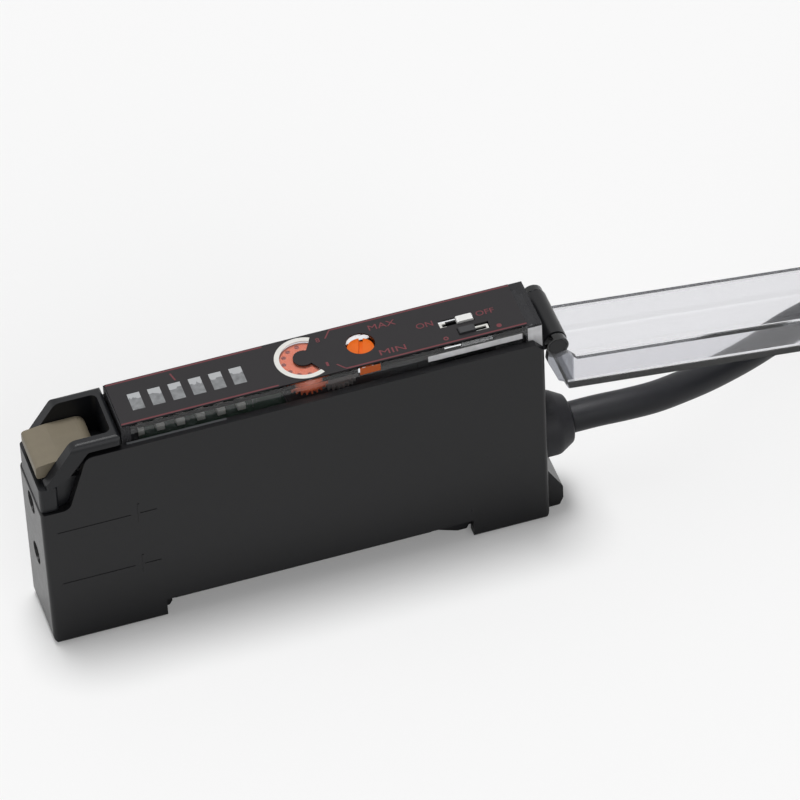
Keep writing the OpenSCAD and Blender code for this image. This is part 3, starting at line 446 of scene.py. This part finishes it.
def window_finish(colour):
    """Milky film, darker and uneven at the near end of each window."""
    f = finish("window_film")
    y = f.axes()[1]
    mottle = f.noise(1600.0)
    pale = y + (mottle - 0.5) * 1.5 > WINDOW_PALE_Y
    shade = f.blend(mottle, linear("4a4c4e"), colour)
    return f.end(f.principled(rough=0.3, base=f.blend(pale, shade, linear("a8aaac"))))


def dress(material, *nodes):
    """Gives CAD nodes one material."""
    for node in nodes:
        mesh = frame["nodes"][node].data
        mesh.materials.clear()
        mesh.materials.append(material)


def placed(name, mesh, material):
    """An object at the origin with a mesh and a material, riding on the fixed body."""
    mesh.materials.append(material)
    mesh.update()
    made = bpy.data.objects.new(name, mesh)
    bpy.context.scene.collection.objects.link(made)
    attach(made, "amplifier")
    return made


def surface(name, points, faces, material):
    """An object of row-frame points and faces."""
    mesh = bpy.data.meshes.new(name)
    mesh.from_pydata(points.tolist(), [], faces)
    return placed(name, mesh, material)


def boxes(name, corners, material):
    """Closed boxes in one mesh: each pair of corners spans the eight points of one box."""
    pairs = bench(corners)
    pick = np.array([[i & 1, i >> 1 & 1, i >> 2] for i in range(8)])
    points = np.take_along_axis(pairs, pick[None].repeat(len(pairs), 0), 1).reshape(-1, 3)
    sides = np.array([[0, 2, 3, 1], [4, 5, 7, 6], [0, 1, 5, 4], [2, 6, 7, 3], [0, 4, 6, 2], [1, 3, 7, 5]])
    faces = (sides[None] + 8 * np.arange(len(pairs))[:, None, None]).reshape(-1, 4)
    return surface(name, points, faces.tolist(), material)


def ring_sector(name, centre, radii, angles, heights, material, steps=48):
    """A closed flat ring sector: four corners of its section swept round the centre, both ends closed."""
    turn = np.radians(np.linspace(*angles, steps + 1))
    r = np.array([radii[0], radii[1], radii[1], radii[0]])
    z = np.array([heights[0], heights[0], heights[1], heights[1]])
    points = np.stack([centre[0] + np.cos(turn)[:, None] * r, centre[1] + np.sin(turn)[:, None] * r,
                       np.broadcast_to(z, (steps + 1, 4))], -1).reshape(-1, 3)
    i, k = np.meshgrid(4 * np.arange(steps), np.arange(4), indexing="ij")
    n = (k + 1) % 4
    walls = np.stack([i + 4 + k, i + 4 + n, i + n, i + k], -1).reshape(-1, 4)
    ends = np.array([[0, 1, 2, 3], [3, 2, 1, 0]]) + np.array([[0], [4 * steps]])
    return surface(name, bench(points), np.vstack([walls, ends]).tolist(), material)


def lettering(name, text, box, material):
    """Raised print: the letters' outlines from the built-in font, scaled to a box on the label."""
    x0, x1, y0, y1 = box
    outline = bpy.data.curves.new(name, "FONT")
    outline.body = text
    outline.extrude = 0.01
    outline.resolution_u = 3
    draft = bpy.data.objects.new(name + "_outline", outline)
    mesh = bpy.data.meshes.new_from_object(draft)
    bpy.data.objects.remove(draft)
    welded = bmesh.new()
    welded.from_mesh(mesh)
    bmesh.ops.remove_doubles(welded, verts=welded.verts, dist=1e-5)
    bmesh.ops.recalc_face_normals(welded, faces=welded.faces)
    welded.to_mesh(mesh)
    welded.free()
    points = np.empty(len(mesh.vertices) * 3)
    mesh.vertices.foreach_get("co", points)
    points = points.reshape(-1, 3)
    low, high = points.min(0), points.max(0)
    corner = np.array([x0, y0, LABEL_Z - PRINT_T])
    span = np.array([x1 - x0, y1 - y0, 2 * PRINT_T])
    mesh.vertices.foreach_set("co", bench(corner + (points - low) / (high - low) * span).ravel())
    return placed(name, mesh, material)


def tube(name, path, radius, material, sides=16):
    """A round tube: circles across the path's tangent, with both ends closed by fans."""
    along = np.gradient(path, axis=0)
    along /= np.linalg.norm(along, axis=1, keepdims=True)
    side = np.cross(along, (0, 0, 1.0))
    side /= np.linalg.norm(side, axis=1, keepdims=True)
    up = np.cross(side, along)
    angle = np.linspace(0, 2 * math.pi, sides, endpoint=False)
    rings = path[:, None] + radius * (
        np.cos(angle)[None, :, None] * side[:, None] + np.sin(angle)[None, :, None] * up[:, None])
    points = np.vstack([rings.reshape(-1, 3), path[:1], path[-1:]])
    k = np.arange(sides)
    n = (k + 1) % sides
    ring = sides * np.arange(len(path) - 1)[:, None]
    walls = np.stack([ring + k, ring + n, ring + sides + n, ring + sides + k], -1).reshape(-1, 4)
    near, far = len(points) - 2, len(points) - 1
    last = near - sides
    first_fan = np.stack([np.full(sides, near), n, k], -1)
    last_fan = np.stack([np.full(sides, far), last + k, last + n], -1)
    made = surface(name, points, walls.tolist() + first_fan.tolist() + last_fan.tolist(), material)
    made.data.polygons.foreach_set("use_smooth", [True] * len(made.data.polygons))
    return made


def spline(points, per_span=8):
    """Catmull-Rom curve through points: each span is the cubic of its four neighbours."""
    p = np.asarray(points, float)
    p = np.vstack([2 * p[0] - p[1], p, 2 * p[-1] - p[-2]])
    t = np.linspace(0, 1, per_span, endpoint=False)[None, :, None]
    a, b, c, d = (p[i:len(p) - 3 + i][:, None] for i in range(4))
    square, cube = 2 * a - 5 * b + 4 * c - d, 3 * b - a - 3 * c + d
    curve = 0.5 * (2 * b + (c - a) * t + square * t ** 2 + cube * t ** 3)
    return np.vstack([curve.reshape(-1, 3), p[-2:-1]])


def eased(t):
    """Smooth step from 0 to 1."""
    t = np.clip(t, 0, 1)
    return t * t * (3 - 2 * t)


def hank_path(run_steps=10, fold_steps=12):
    """The hank: straight runs joined by half circles whose radius steps in, then out, layer upon layer."""
    inward = HANK_LAST_R - CABLE_R * np.arange(HANK_FOLDS)
    radius = np.tile(np.append(inward, inward[::-1]), HANK_LAYERS // 2)[:, None]
    before = np.vstack([[HANK_LAST_R + CABLE_R], radius[:-1]])
    number = np.arange(len(radius))[:, None]
    side = np.where(number % 2, -1, 1)
    height = HANK_LOW + CABLE_R + 2 * CABLE_R * (number // HANK_FOLDS)
    climb = 2 * CABLE_R * ((number % HANK_FOLDS == 0) & (number > 0))
    t = np.linspace(0, 1, run_steps, endpoint=False)[None]
    half = HANK_RUN / 2
    runs = np.stack([side * half * (2 * t - 1), side * (before + (radius - before) * eased(t)),
                     height - climb * (1 - eased(t))], -1)
    turn = np.linspace(0, math.pi, fold_steps, endpoint=False)[None]
    folds = np.stack([side * (half + radius * np.sin(turn)), side * radius * np.cos(turn),
                      height + 0 * turn], -1)
    last = np.array([[-half, HANK_LAST_R, height[-1, 0]]])
    return np.vstack([np.concatenate([runs, folds], 1).reshape(-1, 3), last]) + HANK_MIDDLE


def lead_path(lane, length, lead_r, steps=24):
    """A stripped lead: from the sheath's end up on the hank, along its far run and round its fold."""
    s = np.linspace(0, length, steps)
    start_r = HANK_LAST_R + (lane - LEAD_LANE_R) * LEAD_BUNCH
    radius = lane + (start_r - lane) * (1 - eased(s / LEAD_SWERVE))
    turn = np.maximum(0, s - HANK_RUN) / lane
    rest, start = HANK_TOP + lead_r + LEAD_GAP, HANK_TOP - CABLE_R
    height = rest + (start - rest) * (1 - eased(s / LEAD_CLIMB))
    x = np.minimum(s, HANK_RUN) - HANK_RUN / 2 + radius * np.sin(turn)
    return np.stack([x, radius * np.cos(turn), height], -1) + HANK_MIDDLE


class AMPLIFIER_OT_camera(bpy.types.Operator):
    """Camera at the photograph's place"""

    bl_idname = "amplifier.camera"
    bl_label = "Camera"

    def execute(self, context):
        s = context.scene.amplifier_camera
        back = Vector((math.sin(s.azimuth) * math.cos(s.elevation),
                       -math.cos(s.azimuth) * math.cos(s.elevation), math.sin(s.elevation)))
        level = Vector((0, 0, 1)).cross(back).normalized()
        upright = back.cross(level)
        right = math.cos(s.roll) * level + math.sin(s.roll) * upright
        up = math.cos(s.roll) * upright - math.sin(s.roll) * level
        lens = bpy.data.cameras.new("camera")
        lens.sensor_width = 36
        lens.lens = s.lens
        lens.clip_start, lens.clip_end = 0.01, 20
        camera = bpy.data.objects.new("camera", lens)
        turn = Matrix((right, up, back)).transposed().to_4x4()
        camera.matrix_world = Matrix.Translation(Vector(s.aim) + s.distance * back) @ turn
        context.scene.collection.objects.link(camera)
        context.scene.camera = camera
        return {"FINISHED"}


class AMPLIFIER_OT_cable(bpy.types.Operator):
    """Cable with its hank and stripped leads"""

    bl_idname = "amplifier.cable"
    bl_label = "Cable"

    def execute(self, context):
        s = context.scene.amplifier_cable
        colours = context.scene.amplifier_colours
        sheath = moulded("cable_sheath", colours.sheath, rough=0.5, grain=0.15)
        path = bench(np.vstack([spline(CABLE_ROUTE), hank_path()[1:]]))
        cable = tube("cable", path, s.diameter / 2, sheath, sides=24)
        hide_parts("cable_run", "cable_coil")
        cable.visible_shadow = False
        lead_r = s.lead_diameter / MM / 2
        for number, (name, code) in enumerate(LEADS):
            lane = LEAD_LANE_R + (1 - number) * LEAD_PITCH * lead_r
            wire_path = bench(lead_path(lane, s.lead_length / MM, lead_r))
            colour = moulded(name, linear(code), rough=0.4, grain=0.1)
            lead = tube(name + "_wire", wire_path, s.lead_diameter / 2, colour, sides=12)
            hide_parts(name)
        return {"FINISHED"}


class AMPLIFIER_OT_case(bpy.types.Operator):
    """Finish of the case, holder, lever and boot, and the marks beside the bores"""

    bl_idname = "amplifier.case"
    bl_label = "Case"

    def execute(self, context):
        c = context.scene.amplifier_colours
        case = moulded("case_plastic", c.case, rough=0.3)
        dress(case, "case_cover", "din_latch")
        # The case body carries a painted highlight line along its near wall's top.
        dress(marked("case_rim_highlight", c.case, linear("5a5c5e"), painted_rim_highlight, rough=0.3, grain=0.25), "case_body")
        dress(moulded("holder_plastic", c.holder, rough=0.38), "fibre_holder")
        dress(moulded("lever_plastic", c.lever, rough=0.5), "lock_lever")
        dress(moulded("boot_rubber", linear("1a1a1e"), rough=0.5), "cable_boot")
        dress(moulded("tie_plastic", linear("141416"), rough=0.4), "coil_tie")
        lines = [[(x0, NEAR_Y - MARK_T, bore - MARK_DROP + z0), (x1, NEAR_Y + MARK_T, bore - MARK_DROP + z1)]
                 for bore in BORE_HEIGHTS for (x0, x1), (z0, z1) in BORE_MARKS]
        marks = boxes("bore_marks", lines, case)
        return {"FINISHED"}


class AMPLIFIER_OT_clear(bpy.types.Operator):
    """Clear block and protective cover"""

    bl_idname = "amplifier.clear"
    bl_label = "Clear pieces"

    def execute(self, context):
        for name, material in (("display_cover", block_finish()), ("protective_cover", cover_finish())):
            dress(material, name)
            frame["nodes"][name].visible_shadow = False
            frame["nodes"][name].visible_diffuse = False
        return {"FINISHED"}


class AMPLIFIER_OT_inside(bpy.types.Operator):
    """Boards, lamps, chips, clamp and springs"""

    bl_idname = "amplifier.inside"
    bl_label = "Inside"

    def execute(self, context):
        c = context.scene.amplifier_colours
        steel = finish("steel")
        steel.end(steel.principled(base=linear("b4b6ba"), metal=1.0, rough=0.25 + steel.noise(2000.0) * 0.15))
        dress(steel.owner, "clamp_plate", "clamp_spring", "latch_spring")
        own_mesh(frame["nodes"]["latch_spring"])
        green, board_grey = linear("173a26"), linear("28282a")
        dress(moulded("board_green", green, rough=0.3), "main_board")
        dress(marked("display_board_mask", green, board_grey, lambda x, y, z: x > BOARD_REAR, rough=0.3),
              "display_board")
        dress(moulded("chip_resin", linear("1a1a1c"), rough=0.5), "board_link", "controller_chip",
              "amplifier_chip", "output_transistor", "receiver_diode")
        dress(moulded("red_resin", linear("a03030"), rough=0.2), "emitter_led")
        dress(moulded("lamp_white", linear("e8e8e2"), rough=0.3),
              *["level_led_%d" % i for i in range(1, WINDOW_COUNT + 1)])
        dress(moulded("blue_plastic", linear("34508c")), "gain_potentiometer")
        dress(moulded("gear_plate", linear("3e3a3c")), "gear_plate")
        dress(moulded("gear_grey", linear("8c8886")), "reduction_gear")
        # Painted shade: each switch plinth is dark beside its knob and white only at its end.
        painted_plinth_shade = linear("161618")
        dress(marked("timer_plinth", painted_plinth_shade, c.white, lambda x, y, z: (x < TIMER_WHITE_END) * (z > PLINTH_LOW)),
              "timer_switch")
        dress(marked("mode_plinth", painted_plinth_shade, c.white, lambda x, y, z: (x > MODE_WHITE_START) * (z > PLINTH_LOW)),
              "mode_switch")
        return {"FINISHED"}


class AMPLIFIER_OT_controls(bpy.types.Operator):
    """Dial, adjuster, switch knobs and label film"""

    bl_idname = "amplifier.controls"
    bl_label = "Controls"

    def execute(self, context):
        c = context.scene.amplifier_colours
        dress(marked("dial_plastic", c.dial, c.dial_mark, dial_marks, rough=0.35, grain=0.05),
              "indicator_dial")
        dress(moulded("orange_plastic", c.adjuster, rough=0.35, grain=0.05), "gain_adjuster")
        dress(moulded("white_knob", linear("e8e8e6")), "timer_knob")
        dress(moulded("grey_knob", linear("3a3a3c")), "mode_knob")
        dress(marked("label_film", c.label, c.print, print_lines, rough=0.4), "panel_label")
        red = moulded("red_print", c.print, rough=0.5, grain=0.05)
        for name, text, box in PRINT:
            lettering("print_" + name, text, box, red)
        windows = [[(x - WINDOW_HALF_W, WINDOW_Y - WINDOW_HALF_L, FILM_TOP - FILM_T),
                    (x + WINDOW_HALF_W, WINDOW_Y + WINDOW_HALF_L, FILM_TOP)]
                   for x in WINDOW_X + WINDOW_STEP * np.arange(WINDOW_COUNT)]
        boxes("window_films", windows, window_finish(c.window))
        white = moulded("white_print", c.white, rough=0.35, grain=0.05)
        ring = ring_sector("dial_ring", (DIAL_X, 0), RING_RADII, RING_ANGLES,
                           (FILM_TOP - FILM_T, FILM_TOP), white)
        return {"FINISHED"}


class AMPLIFIER_OT_stage(bpy.types.Operator):
    """Pale floor, white surroundings and suns"""

    bl_idname = "amplifier.stage"
    bl_label = "Stage"

    def execute(self, context):
        scene = context.scene
        scene.view_settings.view_transform = "Standard"
        f = finish("floor")
        lit = f.node("ShaderNodeBsdfDiffuse", None, {"Color": grey(FLOOR_SHADE)})
        glow = f.node("ShaderNodeEmission", None, {"Color": grey(FLOOR_GLOW), "Strength": 1.0})
        f.end(f.mix(f.node("ShaderNodeLightPath") * GLOW_SHARE, lit, glow))
        low, reach = BENCH[2] - FLOOR_GAP, FLOOR_REACH
        mesh = bpy.data.meshes.new("floor")
        mesh.from_pydata([(-reach, -reach, low), (reach, -reach, low), (reach, reach, low),
                          (-reach, reach, low)], [], [(0, 1, 2, 3)])
        mesh.materials.append(f.owner)
        floor = bpy.data.objects.new("floor", mesh)
        scene.collection.objects.link(floor)
        world = bpy.data.worlds.new("surroundings")
        scene.world = world
        w = Finish(world)
        camera_ray = w.node("ShaderNodeLightPath")
        rays = camera_ray.socket.node.outputs
        white = camera_ray | Value(w, rays["Is Glossy Ray"]) | Value(w, rays["Is Transmission Ray"])
        level = w.blend(white, grey(AMBIENT), grey(1.0))
        background = w.node("ShaderNodeBackground", None, {"Color": level, "Strength": 1.0})
        w.node("ShaderNodeOutputWorld", None, {0: background})
        for name, power, width, where in SUNS:
            lamp = bpy.data.lights.new(name, "SUN")
            lamp.energy, lamp.angle = power, math.radians(width)
            made = bpy.data.objects.new(name, lamp)
            made.location = where
            made.rotation_mode = "QUATERNION"
            made.rotation_quaternion = Vector(where).to_track_quat("Z", "Y")
            scene.collection.objects.link(made)
        return {"FINISHED"}


OPERATORS = [AMPLIFIER_OT_camera, AMPLIFIER_OT_cable, AMPLIFIER_OT_case, AMPLIFIER_OT_clear,
             AMPLIFIER_OT_inside, AMPLIFIER_OT_controls, AMPLIFIER_OT_stage]


class AMPLIFIER_PT_panel(bpy.types.Panel):
    """Lists the steps in the sidebar"""

    bl_idname = "AMPLIFIER_PT_panel"
    bl_label = "Fibre amplifier"
    bl_space_type = "VIEW_3D"
    bl_region_type = "UI"
    bl_category = "Amplifier"

    def draw(self, context):
        for operator in OPERATORS:
            self.layout.operator(operator.bl_idname)


SETTINGS = {"amplifier_camera": CameraSettings, "amplifier_cable": CableSettings,
            "amplifier_colours": ColourSettings}


def register():
    for cls in [*SETTINGS.values(), *OPERATORS, AMPLIFIER_PT_panel]:
        bpy.utils.register_class(cls)
    for name, cls in SETTINGS.items():
        setattr(bpy.types.Scene, name, bpy.props.PointerProperty(type=cls))


def unregister():
    for name in SETTINGS:
        delattr(bpy.types.Scene, name)
    for cls in [AMPLIFIER_PT_panel, *reversed(OPERATORS), *reversed(SETTINGS.values())]:
        bpy.utils.unregister_class(cls)


def main():
    register()
    for operator in OPERATORS:
        group, step = operator.bl_idname.split(".")
        getattr(getattr(bpy.ops, group), step)()


if __name__ == "__main__":
    main()
